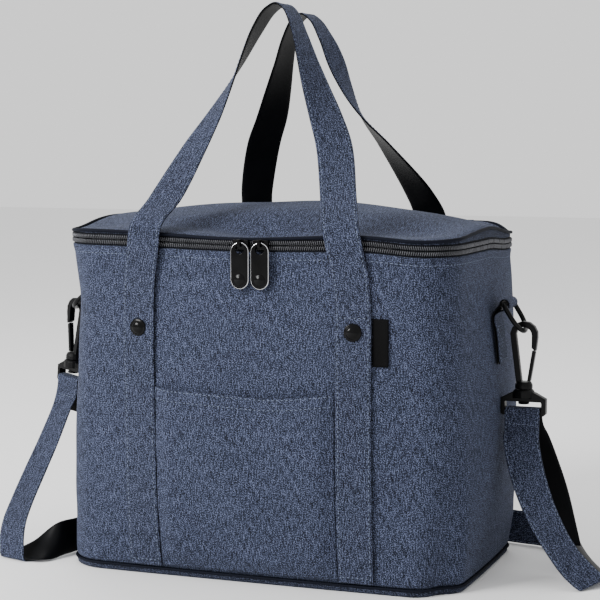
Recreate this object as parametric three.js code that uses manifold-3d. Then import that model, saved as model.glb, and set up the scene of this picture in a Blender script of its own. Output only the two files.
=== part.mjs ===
// Insulated cooler bag, about 30 litres: a soft tub of fabric, foam and foil liner with a zipped
// lid, two webbing handles, a patch pocket, and a shoulder strap clipped to D-rings at the sides.
// Millimetres, +Z up. The origin is the centre of the flat base, and the front faces -Y.
import * as THREE from 'three';
import { mergeVertices } from 'three/addons/utils/BufferGeometryUtils.js';
import Module from 'manifold-3d';

const wasm = await Module();
wasm.setup();

// ---------------------------------------------------------------- driving dimensions
// Plan of the soft body at each height. The walls bulge between the stiff base and the zip.
const SECTIONS = [
  { z: 0, width: 372, depth: 228, corner: 38, front: 1, side: 1, back: 0 },
  { z: 40, width: 379, depth: 231, corner: 40, front: 8, side: 4, back: 3 },
  { z: 90, width: 383, depth: 234, corner: 42, front: 13, side: 7, back: 5 },
  { z: 150, width: 381, depth: 237, corner: 44, front: 14, side: 8, back: 6 },
  { z: 205, width: 375, depth: 241, corner: 45, front: 13, side: 8, back: 5 },
  { z: 250, width: 370, depth: 244, corner: 45, front: 10, side: 5, back: 2 },
  { z: 300, width: 366, depth: 248, corner: 45, front: 6, side: 2, back: 0 },
];
const EDGE_STEPS = [10, 4, 6, 4]; // straight runs: front, right, back, left
const CORNER_STEPS = 5;

const FABRIC = 1.2;
const GAP = 0.3;
const FOAM = 6.5;
const LINER = 1;
const BASE_TOP = 4;
const SHELL_BOTTOM = 9;
const SHELL_TOP = 294.5;
const ZIP_Z = 303; // the line where the two halves of the zip meet
const LID_EDGE_Z = 310.5;
const LID_SIDE_RISE = 6.5;
const LID_CROWN = 14.5;
const LID_HALF_DEPTH = 124;
const LID_HALF_WIDTH = 184;

const WEBBING_WIDTH = 32;
const WEBBING = 2;
const STRAP_X = 100;
const STRAP_TOP = 242.7;
const RIVET_Z = 227;
const RIVET_R = 7.5;
const POCKET_HALF = 83.5;
const POCKET_TOP = 175;
const POCKET_GAP = 7;

const SLIDER_X = [0, 18.5];
const PULL_WIDTH = 16.5;
const PULL_LENGTH = 40.5;
const PULL_HOLE_R = 3.8;

const SIDE_Y = -4; // the side tabs, D-rings and hooks share this plane
const TAB_WIDTH = 30;
const LOOP_X = 204;
const LOOP_Z = 246;
const LOOP_R = 5.2;
const RING_R = 2.1;
const RING_HALF = 17.8;
const RING_REACH = 28.3;
// Degrees: how far each ring swings out, and how far its hook tilts out and turns to the back.
const HANG = { left: { ring: 50, tilt: 5, turn: 26 }, right: { ring: 32, tilt: 0, turn: 0 } };
const STRAP_THICK = 1.8;

// ---------------------------------------------------------------- materials
const finish = (color, roughness, metalness = 0) => () =>
  new THREE.MeshStandardMaterial({ color, roughness, metalness });
const heather = finish(0x4b5a78, 0.9);
const webbing = finish(0x485675, 0.85);
const binding = finish(0x1c222e, 0.8);
const zipTape = finish(0x15171b, 0.85);
const zipTeeth = finish(0x2c2d30, 0.4);
const foam = finish(0xe4e4e0, 0.95);
const foil = finish(0xc9ccd0, 0.35, 0.4);
const board = finish(0x3a3a3a, 0.7);
const plastic = finish(0x121315, 0.45);
const enamel = finish(0x0b0b0d, 0.2, 0.3);
const labelCloth = finish(0x0d0d0f, 0.8);

// ---------------------------------------------------------------- geometry helpers
const V = (x, y, z) => new THREE.Vector3(x, y, z);
const radians = (degrees) => THREE.MathUtils.degToRad(degrees);
const bag = new THREE.Group();

function add(name, geometry, material, parent = bag) {
  const mesh = new THREE.Mesh(geometry, material());
  mesh.name = name;
  parent.add(mesh);
  return mesh;
}

// Closed solid from points and triangles, turned so that its faces point out.
function solid(points, faces) {
  const volume = faces.reduce(
    (sum, [a, b, c]) => sum + points[a].dot(V(0, 0, 0).crossVectors(points[b], points[c])), 0);
  const index = faces.flatMap(([a, b, c]) => (volume < 0 ? [a, c, b] : [a, b, c]));
  const geometry = new THREE.BufferGeometry().setFromPoints(points);
  geometry.setIndex(index);
  return geometry;
}

// Skin over a run of rings. It closes on itself, or is capped at its first and last ring.
// Each quad is split from its lower left to its upper right, so that nested skins stay parallel.
function ringLoft(rings, closed = false) {
  const n = rings[0].length;
  const faces = [];
  const spans = closed ? rings.length : rings.length - 1;
  for (let k = 0; k < spans; k++) {
    const next = (k + 1) % rings.length;
    const [low, high] = [k * n, next * n];
    const rising = rings[k][0].z <= rings[next][0].z;
    for (let i = 0; i < n; i++) {
      const j = (i + 1) % n;
      if (rising) faces.push([low + i, low + j, high + j], [low + i, high + j, high + i]);
      else faces.push([low + i, low + j, high + i], [low + j, high + j, high + i]);
    }
  }
  if (!closed) {
    const last = (rings.length - 1) * n;
    for (let i = 1; i < n - 1; i++) {
      faces.push([0, i + 1, i], [last, last + i, last + i + 1]);
    }
  }
  return solid(rings.flat(), faces);
}

// Plate between two matching grids of points.
function slab(inner, outer) {
  const rows = inner.length;
  const cols = inner[0].length;
  const at = (i, j, side) => (side * rows + i) * cols + j;
  const faces = [];
  const quad = (a, b, c, d) => faces.push([a, b, c], [a, c, d]);
  for (let i = 0; i < rows - 1; i++) {
    for (let j = 0; j < cols - 1; j++) {
      quad(at(i, j, 0), at(i, j + 1, 0), at(i + 1, j + 1, 0), at(i + 1, j, 0));
      quad(at(i, j, 1), at(i + 1, j, 1), at(i + 1, j + 1, 1), at(i, j + 1, 1));
    }
    quad(at(i, 0, 0), at(i + 1, 0, 0), at(i + 1, 0, 1), at(i, 0, 1));
    quad(at(i, cols - 1, 0), at(i, cols - 1, 1), at(i + 1, cols - 1, 1), at(i + 1, cols - 1, 0));
  }
  for (let j = 0; j < cols - 1; j++) {
    quad(at(0, j, 0), at(0, j, 1), at(0, j + 1, 1), at(0, j + 1, 0));
    quad(at(rows - 1, j, 0), at(rows - 1, j + 1, 0), at(rows - 1, j + 1, 1), at(rows - 1, j, 1));
  }
  return solid([...inner.flat(), ...outer.flat()], faces);
}

// Webbing along stations, each a place and the direction across the webbing there. A length of
// webbing that is folded on the slant is not squared to its path.
function ribbon(stations, thickness, { steps: stepsPerSpan = 3, square = true } = {}) {
  const path = new THREE.CatmullRomCurve3(stations.map(({ at }) => V(...at)));
  const turn = new THREE.CatmullRomCurve3(stations.map(({ across }) => V(...across)));
  const steps = (stations.length - 1) * stepsPerSpan;
  const inner = [];
  const outer = [];
  for (let k = 0; k <= steps; k++) {
    const centre = path.getPoint(k / steps);
    const along = path.getTangent(k / steps);
    const across = turn.getPoint(k / steps);
    if (square) across.projectOnPlane(along);
    across.setLength(WEBBING_WIDTH / 2);
    const out = across.clone().cross(along).setLength(thickness / 2);
    const row = (side) => [-1, 1].map((edge) =>
      centre.clone().addScaledVector(across, edge).addScaledVector(out, side));
    inner.push(row(-1));
    outer.push(row(1));
  }
  return slab(inner, outer);
}

// Flat shape in the XZ plane, given a depth along Y and centred on y.
function plateXZ(shape, depth, y, curveSegments = 6) {
  const geometry = new THREE.ExtrudeGeometry(shape, { depth, bevelEnabled: false, curveSegments });
  return geometry.rotateX(Math.PI / 2).translate(0, y + depth / 2, 0);
}

// Round solid about the Z axis from [radius, z] pairs that start and end on the axis.
function lathe(profile, segments = 16) {
  const points = profile.map(([r, z]) => new THREE.Vector2(r, z));
  return new THREE.LatheGeometry(points, segments).rotateX(Math.PI / 2);
}

function toManifold(geometry) {
  const bare = geometry.clone();
  bare.deleteAttribute('normal');
  bare.deleteAttribute('uv');
  const merged = mergeVertices(bare, 1e-4);
  return new wasm.Manifold(new wasm.Mesh({
    numProp: 3,
    vertProperties: new Float32Array(merged.attributes.position.array),
    triVerts: new Uint32Array(merged.index.array),
  }));
}

function fromManifold(body) {
  const mesh = body.getMesh();
  const geometry = new THREE.BufferGeometry();
  geometry.setAttribute('position', new THREE.BufferAttribute(mesh.vertProperties, 3));
  geometry.setIndex(new THREE.BufferAttribute(mesh.triVerts, 1));
  return geometry;
}

const join = (...pieces) => fromManifold(pieces.map(toManifold).reduce((a, b) => a.add(b)));
const cut = (piece, ...tools) =>
  fromManifold(tools.map(toManifold).reduce((a, b) => a.subtract(b), toManifold(piece)));

// ---------------------------------------------------------------- the body's outline
function sectionAt(z) {
  const top = SECTIONS[SECTIONS.length - 1];
  if (z >= top.z) return top;
  const k = SECTIONS.findIndex((s) => s.z > z);
  const [low, high] = [SECTIONS[k - 1], SECTIONS[k]];
  const t = (z - low.z) / (high.z - low.z);
  const mix = {};
  for (const key of Object.keys(low)) mix[key] = low[key] + t * (high[key] - low[key]);
  return mix;
}

// Outline at height z, moved out by offset, anticlockwise from the front's left end.
function outline(z, offset) {
  const s = sectionAt(z);
  const half = [s.width / 2 - s.corner, s.depth / 2 - s.corner];
  const bulges = [s.front, s.side, s.back, s.side];
  const r = s.corner + offset;
  const points = [];
  for (let side = 0; side < 4; side++) {
    const facing = (side - 1) * (Math.PI / 2);
    const normal = V(Math.cos(facing), Math.sin(facing), 0);
    const along = V(-normal.y, normal.x, 0);
    const length = half[side % 2];
    const reach = half[(side + 1) % 2];
    const lean = (u, bulge, run) => Math.atan((2 * bulge * u) / run);
    const place = (u, bulge, angle) => points.push(V(0, 0, z)
      .addScaledVector(normal, reach + bulge * (1 - u * u))
      .addScaledVector(along, u * length)
      .add(V(r * Math.cos(angle), r * Math.sin(angle), 0)));
    for (let i = 0; i < EDGE_STEPS[side]; i++) {
      const u = -1 + (2 * i) / EDGE_STEPS[side];
      place(u, bulges[side], facing + lean(u, bulges[side], length));
    }
    const first = facing + lean(1, bulges[side], length);
    const last = facing + Math.PI / 2 - lean(1, bulges[(side + 1) % 4], reach);
    for (let i = 0; i < CORNER_STEPS; i++) {
      place(1, bulges[side], first + ((last - first) * i) / CORNER_STEPS);
    }
  }
  return points;
}

// Heights of a wall from low to high, with the section heights that lie between them.
const levels = (low, high) =>
  [low, ...SECTIONS.map((s) => s.z).filter((z) => z > low + 1 && z < high - 1), high];

// Outline stretch by point number, counted round from the front's left end.
const POINTS = EDGE_STEPS.reduce((sum, n) => sum + n, 4 * CORNER_STEPS);
const BACK_RIGHT = EDGE_STEPS[0] + EDGE_STEPS[1] + 2 * CORNER_STEPS;
const BACK_LEFT = BACK_RIGHT + EDGE_STEPS[2];
const stretch = (z, offset, from, count) => {
  const ring = outline(z, offset);
  return Array.from({ length: count + 1 }, (_, i) => ring[(from + i) % POINTS]);
};
const band = (low, high, inner, outer, from, count) => slab(
  [stretch(low, inner, from, count), stretch(high, inner, from, count)],
  [stretch(low, outer, from, count), stretch(high, outer, from, count)]);

// Where the outline at height z crosses x, on the front (face -1) or the back (face 1).
function wallY(x, z, offset, face) {
  const ring = outline(z, offset);
  for (let i = 0; i < ring.length; i++) {
    const [a, b] = [ring[i], ring[(i + 1) % ring.length]];
    if (a.y * face > 0 && b.y * face > 0 && (a.x - x) * (b.x - x) <= 0 && a.x !== b.x) {
      return a.y + ((x - a.x) / (b.x - a.x)) * (b.y - a.y);
    }
  }
  throw new Error(`no wall at x ${x}`);
}

const wallSlope = (x, z, face) => (wallY(x + 5, z, 0, face) - wallY(x - 5, z, 0, face)) / 10;

// Patch on the front or back wall over a grid of x and z, between two offsets from the wall.
function wallPatch(xs, zs, face, inner, outer) {
  const grid = (offset) => zs.map((z) => xs.map((x) =>
    V(x, wallY(x, z, offset(x, z), face), z)));
  return slab(grid(inner), grid(outer));
}

// ---------------------------------------------------------------- body
function wall(low, high, outer, thickness) {
  const heights = levels(low, high);
  return ringLoft([
    ...heights.map((z) => outline(z, outer)),
    ...heights.slice().reverse().map((z) => outline(z, outer - thickness)),
  ], true);
}

// Cord round the outline of height z, lifted at each place to the height that lift gives.
function roundCord(radius, offset, z, lift = () => z) {
  const rings = [];
  for (let k = 0; k < 7; k++) {
    const angle = (k + 0.5) * ((2 * Math.PI) / 7);
    rings.push(outline(z, offset + radius * Math.cos(angle)).map(({ x, y }) =>
      V(x, y, lift(x, y) + radius * Math.sin(angle))));
  }
  return ringLoft(rings, true);
}

function makeBody() {
  const linerOut = -(FABRIC + GAP + FOAM + GAP);
  add('outer_shell', wall(SHELL_BOTTOM, SHELL_TOP, 0, FABRIC), heather);
  add('foam_wall', wall(10.7, 298, -FABRIC - GAP, FOAM), foam);
  const linerHeights = levels(10.7, 300);
  add('inner_liner', ringLoft([
    ...linerHeights.map((z) => outline(z, linerOut)),
    ...[...linerHeights.slice(1).reverse(), 10.7 + LINER].map((z) => outline(z, linerOut - LINER)),
  ]), foil);
  add('foam_base', ringLoft([outline(BASE_TOP + GAP, -2.8), outline(10.4, -2.8)]), foam);
  add('base_board', ringLoft([outline(1.8, -1.6), outline(BASE_TOP, -1.6)]), board);
  add('base_panel', ringLoft([
    outline(0, -0.6), outline(BASE_TOP, 0), outline(BASE_TOP, -1.3), outline(1.5, -1.3),
  ]), heather);
  add('base_piping', roundCord(2.2, 0, 6.5), binding);
  const hingeXs = [-136, -68, 0, 68, 136];
  add('lid_hinge_strip', wallPatch(hingeXs, [285, 301.5], 1, () => 0.5, () => 1.5), heather);
}

function makePocket() {
  const xs = [-POCKET_HALF, -76, -66, -44, -22, 0, 22, 44, 66, 76, POCKET_HALF];
  const zs = [9.8, 16, 26, 40, 90, 150, POCKET_TOP];
  const room = (x, z) => 0.5 + POCKET_GAP *
    Math.min(1, (POCKET_HALF - Math.abs(x)) / 16, (z - 9.8) / 16);
  add('front_pocket', wallPatch(xs, zs, -1, room, (x, z) => room(x, z) + FABRIC), heather);
}

function makeSewnStraps() {
  const zs = levels(9.8, STRAP_TOP);
  const faces = { front: -1, rear: 1 };
  const sides = { left: -1, right: 1 };
  for (const [faceName, face] of Object.entries(faces)) {
    for (const [sideName, side] of Object.entries(sides)) {
      const centre = side * STRAP_X;
      const xs = [-1, -0.33, 0.33, 1].map((f) => centre + (f * WEBBING_WIDTH) / 2);
      add(`${faceName}_strap_${sideName}`,
        wallPatch(xs, zs, face, () => 0.5, () => 0.5 + WEBBING), webbing);
      addRivet(`rivet_${faceName}_${sideName}`, centre, face);
    }
  }
}

function addRivet(name, x, face) {
  const seat = 0.5 + WEBBING + 0.4;
  const dome = lathe([[0, 0], [RIVET_R, 0], [RIVET_R, 1.2], [6.2, 2.7], [3.6, 3.6], [0, 3.9]], 20);
  const mesh = add(name, dome, plastic);
  const outward = V(-wallSlope(x, RIVET_Z, face) * face, face, 0).normalize();
  mesh.quaternion.setFromUnitVectors(V(0, 0, 1), outward);
  mesh.position.set(x, wallY(x, RIVET_Z, seat, face), RIVET_Z);
}

function makeLabel() {
  const xs = [116.6, 123.3, 130];
  add('label_tag', wallPatch(xs, [200, 205, 241], -1, () => 0.5, () => 1.7), labelCloth);
}

// ---------------------------------------------------------------- zip and lid
const LID_ROUND = POINTS - EDGE_STEPS[2]; // the zip runs round everything but the back's straight run

function makeZip() {
  add('zipper_tape_lower', band(294.8, 300.1, 0, 1.2, BACK_LEFT, LID_ROUND), zipTape);
  add('zipper_chain_lower', band(300.4, ZIP_Z - 0.15, 0.2, 2, BACK_LEFT, LID_ROUND), zipTeeth);
  add('zipper_chain_upper', band(ZIP_Z + 0.15, 305.6, 0.2, 2, BACK_LEFT, LID_ROUND), zipTeeth);
  add('zipper_tape_upper', band(305.9, 310.5, -0.2, 0.35, BACK_LEFT, LID_ROUND), zipTape);
}

// Height of the lid's top surface: a soft dome, level along front and back.
const vault = (x, y) => LID_EDGE_Z +
  Math.cos((Math.PI / 2) * Math.min(1, Math.abs(y) / LID_HALF_DEPTH)) ** 1.7 *
  (LID_SIDE_RISE + LID_CROWN * (1 - Math.abs(x / LID_HALF_WIDTH) ** 2.4));

const lidRing = (offset, scale, drop) => outline(ZIP_Z, offset).map(({ x, y }) =>
  V(x * scale, y * scale, vault(x * scale, y * scale) - drop));

const LID_SCALES = [0.12, 0.32, 0.52, 0.68, 0.82, 0.92, 1];

function lidLayer(offset, top, bottom) {
  return ringLoft([
    ...LID_SCALES.map((scale) => lidRing(offset, scale, top)),
    ...LID_SCALES.slice().reverse().map((scale) => lidRing(offset, scale, bottom)),
  ]);
}

function makeLid() {
  const rim = 303.4;
  const [out, inside] = [-0.4, -0.4 - FABRIC];
  add('lid_cover', ringLoft([
    ...LID_SCALES.map((scale) => lidRing(out, scale, 0)),
    outline(rim, out),
    outline(rim, inside),
    ...LID_SCALES.slice().reverse().map((scale) => lidRing(inside, scale, FABRIC)),
  ]), heather);
  add('lid_foam', lidLayer(-2, FABRIC + GAP, FABRIC + GAP + FOAM), foam);
  add('lid_liner', lidLayer(-2, FABRIC + 2 * GAP + FOAM, FABRIC + 2 * GAP + FOAM + LINER), foil);
  add('lid_piping', roundCord(1.9, 2.35, ZIP_Z, vault), binding);
}

function makeSlider(name, x) {
  const back = wallY(9, ZIP_Z, 2.4, -1);
  const thick = 3.4;
  const face = back - thick;
  const rimZ = ZIP_Z + 0.5;
  const block = new THREE.BoxGeometry(14, thick, 8.3).translate(x, back - thick / 2, ZIP_Z - 1.1);
  const posts = [-2.5, 2.5].map((z) =>
    new THREE.BoxGeometry(2.6, 4.9, 1.4).translate(x, face - 2.35, rimZ + z));
  const bar = new THREE.BoxGeometry(2.6, 1.4, 6.4).translate(x, face - 4.1, rimZ);
  add(`slider_${name}`, join(block, ...posts, bar), enamel);

  const shape = new THREE.Shape();
  const r = PULL_WIDTH / 2;
  const top = rimZ + 1.1;
  const topCentre = top - r;
  const bottomCentre = top - PULL_LENGTH + r;
  shape.absarc(x, topCentre, r, 0, Math.PI);
  shape.absarc(x, bottomCentre, r, Math.PI, 2 * Math.PI);
  const hole = new THREE.Path().absarc(x, top - 2.2 - PULL_HOLE_R, PULL_HOLE_R, 0, 2 * Math.PI);
  const dimple = new THREE.Path().absarc(x, bottomCentre, 3, 0, 2 * Math.PI);
  shape.holes.push(hole, dimple);
  add(`pull_tab_${name}`, plateXZ(shape, 1.8, face - 1.7, 8), enamel);
}

// ---------------------------------------------------------------- handles
// One free loop: half of its places from the stitch line up to the top, mirrored. The webbing
// lies along the wall up to the lid's piping and turns by a quarter on its way to the top.
const TURN_FROM = 322;

function addHandle(name, face, places) {
  const high = places[places.length - 1][2];
  const stations = places.map(([x, y, z]) => {
    const part = Math.max(0, (z - TURN_FROM) / (high - TURN_FROM));
    const lean = z < TURN_FROM ? Math.atan(Math.abs(wallSlope(x, z, face))) : 0.04;
    const twist = Math.max(lean, (Math.PI / 4) * (1 - Math.cos(Math.PI * part)));
    return { at: [-x, y, z], across: [-face * Math.cos(twist), -Math.sin(twist), 0] };
  });
  const mirrored = stations.slice(0, -1).reverse().map(({ at: [x, y, z], across: [a, b] }) => (
    { at: [-x, y, z], across: [-a, b, 0] }));
  add(name, ribbon([...stations, ...mirrored], WEBBING), webbing);
}

function makeHandles() {
  const start = (face, z, offset, x) => [x, wallY(x, z, offset, face), z];
  addHandle('front_handle', -1, [
    start(-1, STRAP_TOP + 1.4, 1.6, STRAP_X), start(-1, 274, 2.6, 98), start(-1, 296, 4.6, 94),
    start(-1, 317, 6, 90), [81, -112, 340], [66, -80, 385], [54, -68, 411], [42, -60, 437],
    [31, -53, 463], [20, -46, 489], [10, -40, 506], [0, -37, 512],
  ]);
  addHandle('rear_handle', 1, [
    start(1, STRAP_TOP + 1.4, 1.6, STRAP_X), start(1, 274, 3, 99), start(1, 296, 4.8, 98),
    start(1, 317, 6, 96), [90, 114, 340], [68, 76, 385], [51, 56, 411], [39, 44, 437],
    [29, 37, 463], [19, 31, 485], [9, 28, 501], [0, 27, 506.5],
  ]);
}

// ---------------------------------------------------------------- side tabs, rings and hooks
function makeTab(name, side) {
  const wallX = (z) => Math.max(...outline(z, 0).map((p) => p.x));
  const seat = 0.6;
  const thick = 3.8;
  const shape = new THREE.Shape();
  const low = 192;
  const high = 236;
  shape.moveTo(side * (wallX(low) + seat), low);
  shape.lineTo(side * (wallX(low) + seat + thick), low);
  shape.lineTo(side * (wallX(205) + seat + thick), 205);
  shape.lineTo(side * (wallX(high) + seat + thick), high);
  const [first, last] = [-70, 190].map(radians);
  for (let k = 0; k <= 12; k++) {
    const angle = first + ((last - first) * k) / 12;
    shape.lineTo(side * (LOOP_X + LOOP_R * Math.cos(angle)), LOOP_Z + LOOP_R * Math.sin(angle));
  }
  shape.lineTo(side * (wallX(high) + seat), high);
  shape.lineTo(side * (wallX(205) + seat), 205);
  const hole = new THREE.Path().absarc(side * LOOP_X, LOOP_Z, RING_R + 1, 0, 2 * Math.PI);
  shape.holes.push(hole);
  add(`side_tab_${name}`, plateXZ(shape, TAB_WIDTH, SIDE_Y, 7), webbing);
}

// D-ring: its straight bar lies along Y in the tab's loop, and the bow hangs out and down.
function makeRing(name, side) {
  const hang = radians(HANG[name].ring);
  const down = V(side * Math.sin(hang), 0, -Math.cos(hang));
  const bowStart = 12;
  const flat = [[-14, 0], [0, 0], [14, 0], [RING_HALF - 0.8, 1.2], [RING_HALF, 4], [RING_HALF, bowStart]];
  for (let k = 1; k <= 9; k++) {
    const angle = (k * Math.PI) / 9;
    flat.push([RING_HALF * Math.cos(angle), bowStart + (RING_REACH - bowStart) * Math.sin(angle)]);
  }
  flat.push([-RING_HALF, 4], [-RING_HALF + 0.8, 1.2]);
  const centre = V(side * LOOP_X, SIDE_Y, LOOP_Z);
  const place = ([a, b]) => centre.clone().add(V(0, a, 0)).addScaledVector(down, b);
  const flatNormal = V(0, 1, 0).cross(down);
  const rings = flat.map((here, k) => {
    const before = place(flat[(k + flat.length - 1) % flat.length]);
    const after = place(flat[(k + 1) % flat.length]);
    const sideways = after.sub(before).cross(flatNormal).normalize();
    return Array.from({ length: 8 }, (_, i) => {
      const angle = (i * Math.PI) / 4;
      return place(here).addScaledVector(sideways, RING_R * Math.cos(angle))
        .addScaledVector(flatNormal, RING_R * Math.sin(angle));
    });
  });
  add(`d_ring_${name}`, ringLoft(rings, true), plastic);
}

// Snap hook, drawn about the point where the D-ring bears inside its nose, u outwards.
const HOOK = { archR: 7.2, archOut: 12.5, archZ: -3.8, depth: 6.5, collarZ: -47, gateTop: -18.6 };
const BASE = { top: -52.4, web: -63.5, barTop: -71, bottom: -76, half: 20.5, slot: 16.5, depth: 8 };

function hookOrigin(name, side) {
  const hang = radians(HANG[name].ring);
  return V(side * (LOOP_X + RING_REACH * Math.sin(hang)), SIDE_Y, LOOP_Z - RING_REACH * Math.cos(hang));
}

function hookTurn(name, side) {
  const tilt = new THREE.Quaternion().setFromAxisAngle(V(0, 1, 0), -side * radians(HANG[name].tilt));
  const turn = new THREE.Quaternion().setFromAxisAngle(V(0, 0, 1), side * radians(HANG[name].turn));
  return tilt.multiply(turn);
}

function makeHook(name, side) {
  const group = new THREE.Group();
  group.position.copy(hookOrigin(name, side));
  group.quaternion.copy(hookTurn(name, side));
  bag.add(group);

  const shape = new THREE.Shape();
  const arc = (r, from, to) => {
    for (let k = 0; k <= 8; k++) {
      const angle = radians(from + ((to - from) * k) / 8);
      shape.lineTo(side * r * Math.cos(angle), HOOK.archZ + r * Math.sin(angle));
    }
  };
  shape.moveTo(side * -6.5, HOOK.collarZ);
  arc(HOOK.archOut, 200, -12);
  shape.lineTo(side * 10.8, -18);
  shape.lineTo(side * 7, -15);
  arc(HOOK.archR, -10, 200);
  shape.lineTo(side * -1.5, HOOK.collarZ);
  const stud = lathe([
    [0, -65.8], [5, -65.8], [5, -63.8], [3, -63.8], [3, -52], [8, -52], [8, -48.5], [6.5, -45.5],
    [0, -45.5],
  ]);
  add(`hook_${name}`, join(plateXZ(shape, HOOK.depth, 0), stud), plastic, group);

  const gate = new THREE.Shape();
  gate.moveTo(side * 3.2, -45.1);
  gate.lineTo(side * 6.2, -45.1);
  gate.lineTo(side * 10.6, HOOK.gateTop);
  gate.lineTo(side * 7.6, HOOK.gateTop + 1.4);
  gate.lineTo(side * 6.4, -24);
  add(`gate_${name}`, plateXZ(gate, 5, 0), plastic, group);

  const frame = new THREE.Shape();
  const outlineOf = [[10, -55], [BASE.half, -60.5], [BASE.half, BASE.bottom + 2],
    [BASE.half - 2, BASE.bottom]];
  frame.moveTo(-outlineOf[0][0], outlineOf[0][1]);
  outlineOf.forEach(([u, w]) => frame.lineTo(u, w));
  outlineOf.slice(1).reverse().forEach(([u, w]) => frame.lineTo(-u, w));
  const slot = new THREE.Path();
  slot.moveTo(-BASE.slot, BASE.web);
  slot.lineTo(-BASE.slot, BASE.barTop);
  slot.lineTo(BASE.slot, BASE.barTop);
  slot.lineTo(BASE.slot, BASE.web);
  frame.holes.push(slot);
  const boss = lathe([[0, -60], [9.5, -60], [9.5, BASE.top - 1.5], [8, BASE.top], [0, BASE.top]]);
  const bore = new THREE.CylinderGeometry(3.4, 3.4, 20, 16).rotateX(Math.PI / 2)
    .translate(0, 0, BASE.top - 5);
  add(`swivel_base_${name}`, cut(join(plateXZ(frame, BASE.depth, 0), boss), bore), plastic, group);
  return group;
}

// ---------------------------------------------------------------- shoulder strap
// Place and direction in a hook's own frame (u outwards, y, w up), given in the bag's frame.
const hookTo = (name, side, u, y, w) => V(side * u, y, w).applyQuaternion(hookTurn(name, side));
const onHook = (name, side, u, y, w) =>
  hookTo(name, side, u, y, w).add(hookOrigin(name, side)).toArray();

// Strap stations down the back of the hook's bar, over it and down its front.
function overBar(name, side, behind, before) {
  const reach = BASE.depth / 2 + 0.6 + STRAP_THICK / 2;
  const top = BASE.barTop + 0.6 + STRAP_THICK / 2;
  const turn = [...behind, [reach, -79], [reach, -71], [reach - 0.4, top - 0.4],
    [reach - 1.4, top], [-reach + 1.4, top], [-reach + 0.4, top - 0.4], [-reach, -71],
    [-reach, -79], ...before];
  const across = hookTo(name, side, -side, 0, 0).toArray();
  return turn.map(([y, w]) => ({ at: onHook(name, side, 0, y, w), across }));
}

function makeShoulderStrap() {
  const folded = { square: false };
  const down = [
    { at: [-238.5, -16, 128], across: [-0.87, 0.49, 0] },
    { at: [-247, -27, 98], across: [-0.88, 0.46, 0.05] },
    { at: [-252, -47, 70], across: [-0.9, 0.42, 0.05] },
    { at: [-252, -72, 47], across: [-0.92, 0.38, 0] },
    { at: [-249, -92, 32], across: [-0.94, 0.34, 0] },
    { at: [-245, -105, 19], across: [-0.957, 0.29, 0] },
    { at: [-241.5, -111, 9.5], across: [-0.957, 0.29, 0] },
    { at: [-240.7, -112, 4], across: [-0.957, 0.29, 0] },
  ];
  add('shoulder_strap_left', ribbon([
    ...overBar('left', -1, [[1, -103], [1.8, -97], [4, -88]], [[-6.5, -88]]), ...down,
  ], STRAP_THICK, folded), webbing);

  const edge = 16.8; // centre height of the webbing where it stands on its edge
  const raised = 22; // the same where the slide lifts it
  add('shoulder_strap_back', ribbon([
    { at: [-238.5, -109.5, 1.6], across: [-0.957, 0.29, 0] },
    { at: [-219, -102, 8.6], across: [-0.62, 0.7, 0.36] },
    { at: [-204, -88, 17], across: [-0.15, 0.25, 0.95] },
    { at: [-199, -62, edge], across: [0, 0, 1] },
    { at: [-197, -10, edge], across: [0, 0, 1] },
    { at: [-197, 50, edge + 1], across: [0, 0, 1] },
    { at: [-188, 100, raised - 2], across: [0, 0, 1] },
    { at: [-150, 130, raised], across: [0, 0, 1] },
    { at: [-80, 137, raised], across: [0, 0, 1] },
    { at: [-30, 140, edge + 2], across: [0, 0.5, 0.87] },
    { at: [10, 141, edge], across: [0, 1, 0] },
    { at: [50, 140, edge], across: [0, 0.5, -0.87] },
    { at: [100, 133, edge], across: [0, 0, -1] },
    { at: [182, 116, edge], across: [0, 0, -1] },
    { at: [218, 107, edge], across: [0, 0, -1] },
    { at: [245, 88, edge], across: [0, 0, -1] },
    { at: [264, 50, 15.2], across: [0.5, 0.2, -0.84] },
    { at: [280, 6, 8.8], across: [0.83, 0.4, -0.38] },
    { at: [289, -27.5, 5.6], across: [0.62, 0.75, 0.24] },
  ], STRAP_THICK, { steps: 4, square: false }), webbing);

  const bar = overBar('right', 1, [], [[-7, -88]]);
  add('shoulder_strap_right', ribbon([
    ...bar.slice(4),
    { at: [219.5, -15, 127], across: [-0.98, -0.2, 0] },
    { at: [225, -22, 105], across: [-0.94, -0.34, 0] },
    { at: [234, -29, 82], across: [-0.87, -0.5, 0] },
    { at: [246, -34, 58], across: [-0.8, -0.6, 0] },
    { at: [260, -36, 36], across: [-0.74, -0.67, 0] },
    { at: [275, -35, 17.5], across: [-0.66, -0.72, -0.2] },
    { at: [283.5, -32.5, 8.6], across: [-0.62, -0.75, -0.24] },
  ], STRAP_THICK, folded), webbing);
  add('shoulder_strap_tail', ribbon([
    { at: onHook('right', 1, 0, 0.2, BASE.barTop + 0.6 + STRAP_THICK / 2), across: [-1, 0, 0] },
    ...bar.slice(0, 4).reverse(),
    { at: onHook('right', 1, 1, 8, -86), across: [-1, 0, 0] },
    { at: [229, 9, 128], across: [-1, 0, 0] },
    { at: [234, 14, 104], across: [-0.99, 0.1, 0] },
    { at: [237, 17, 74], across: [-0.99, 0.1, 0] },
    { at: [241, 16, 47], across: [-0.98, 0, 0] },
    { at: [246, 13, 22], across: [-0.97, -0.1, 0] },
    { at: [248, 11, 2.5], across: [-0.97, -0.1, 0] },
  ], STRAP_THICK, folded), webbing);
}

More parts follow.
